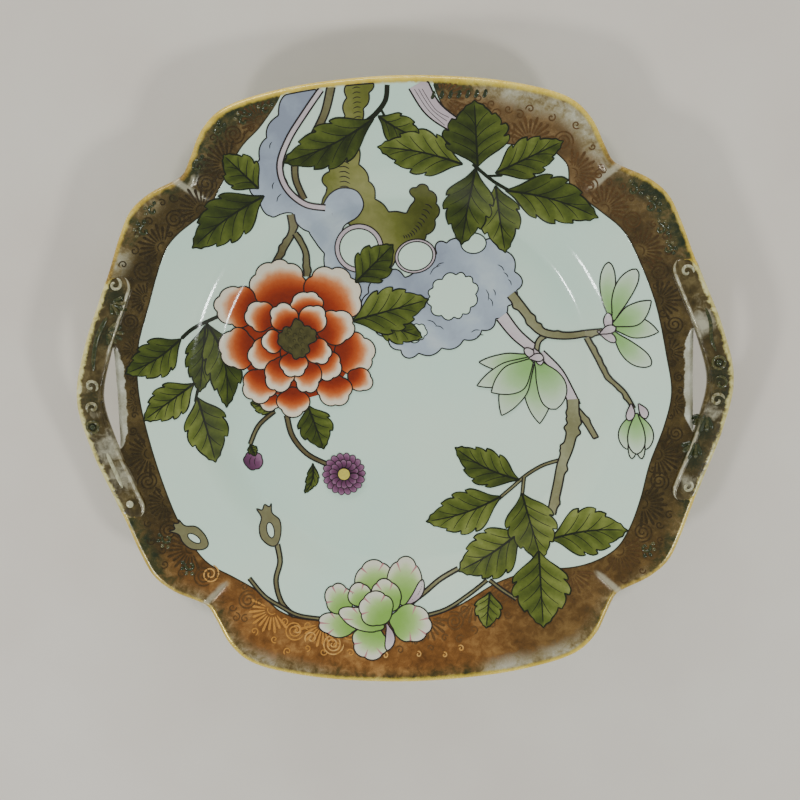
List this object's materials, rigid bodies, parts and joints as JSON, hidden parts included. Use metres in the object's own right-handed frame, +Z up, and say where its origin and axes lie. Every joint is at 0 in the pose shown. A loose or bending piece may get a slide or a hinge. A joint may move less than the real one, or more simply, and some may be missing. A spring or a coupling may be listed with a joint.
{
  "type": "handled serving platter",
  "caption": "Shallow lobed china serving platter with a round well, a turned foot ring and a pierced scroll handle let into each end of the rim.",
  "frame": {"origin": "middle of the footprint, on the plane that the foot ring stands on", "axes": "+Z up out of the dish, +X towards the right handle, +Y towards one long side"},
  "size_m": [0.268, 0.2512, 0.0274],
  "materials": {
    "glazed_china": "clear gloss glaze over a white body with painted decoration",
    "banded_china": "gloss glaze over brushed green, brown and gilding",
    "wiped_foot": "glaze wiped off the standing edge"
  },
  "bodies": {
    "root": {"platter_body": "glazed_china", "foot_ring": "wiped_foot", "left_handle": "banded_china", "right_handle": "banded_china"}
  },
  "joints": []
}
